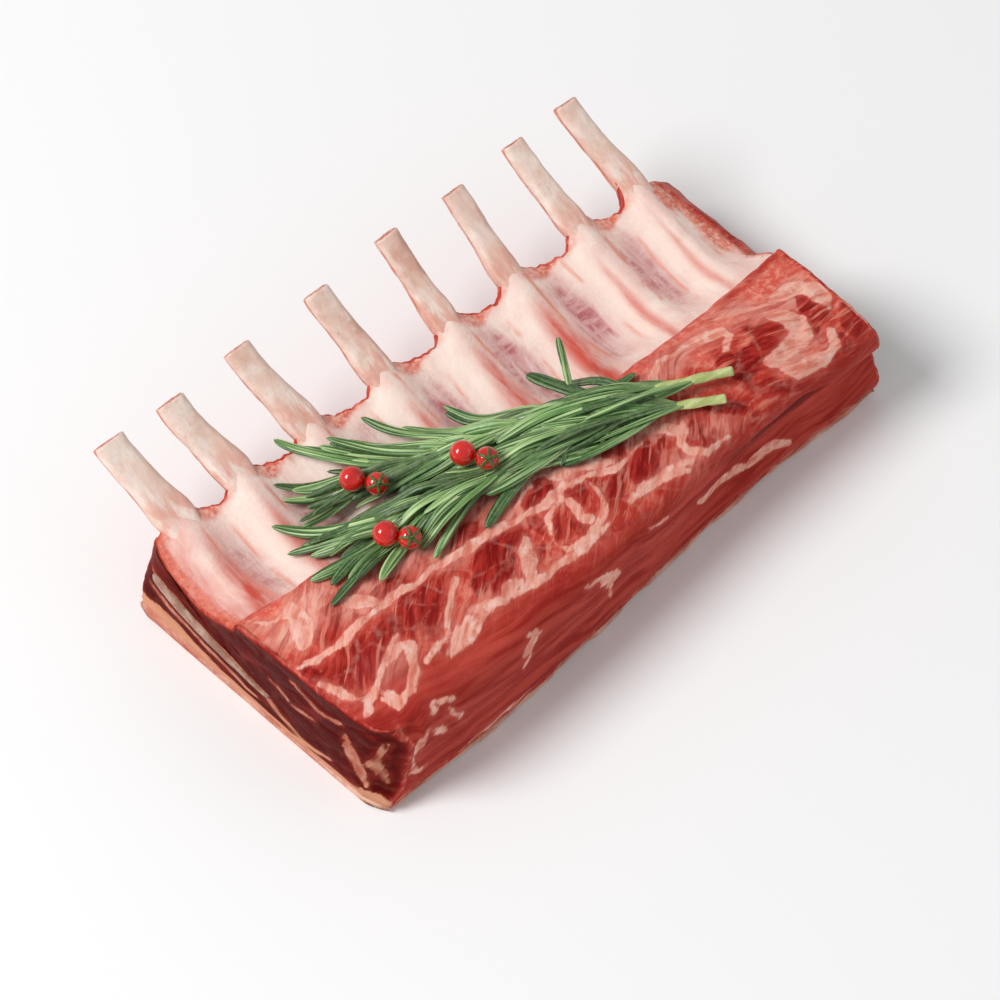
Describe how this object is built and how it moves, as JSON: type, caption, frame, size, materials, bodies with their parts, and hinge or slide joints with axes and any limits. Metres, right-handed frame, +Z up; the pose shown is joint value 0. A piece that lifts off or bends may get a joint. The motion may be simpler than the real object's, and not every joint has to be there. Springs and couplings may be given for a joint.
{
  "type": "rack of lamb",
  "caption": "Raw frenched rack of lamb lying on its fat side, with cleaned rib bones, a marbled chine side, a bunch of rosemary and small tomatoes on top.",
  "frame": {"origin": "on the flat underside of the fat, at the middle of the rack's length under the meat", "axes": "+X along the rack from the cut shoulder end to the loin end, +Y across it from the chine side to the rib tips, +Z up from the surface that it lies on"},
  "size_m": [0.2003, 0.1206, 0.054],
  "materials": {
    "meat_red": "moist raw red meat with pale marbling",
    "fat_cream": "moist cream fat",
    "gristle_grey": "smooth grey-white gristle",
    "bone_ivory": "scraped ivory bone",
    "leaf_green": "matt fresh green leaf",
    "tomato_red": "glossy red skin",
    "calyx_green": "matt dark green"
  },
  "bodies": {
    "root": {"meat": "meat_red", "fat_cap": "fat_cream", "blade_gristle": "gristle_grey", "rib_1": "bone_ivory", "rib_2": "bone_ivory", "rib_3": "bone_ivory", "rib_4": "bone_ivory", "rib_5": "bone_ivory", "rib_6": "bone_ivory", "rib_7": "bone_ivory", "rib_8": "bone_ivory", "rosemary": "leaf_green", "tomato_1": "tomato_red", "tomato_2": "tomato_red", "tomato_3": "tomato_red", "tomato_4": "tomato_red", "tomato_5": "tomato_red", "tomato_6": "tomato_red", "calyx_1": "calyx_green", "calyx_2": "calyx_green", "calyx_3": "calyx_green"}
  },
  "joints": []
}
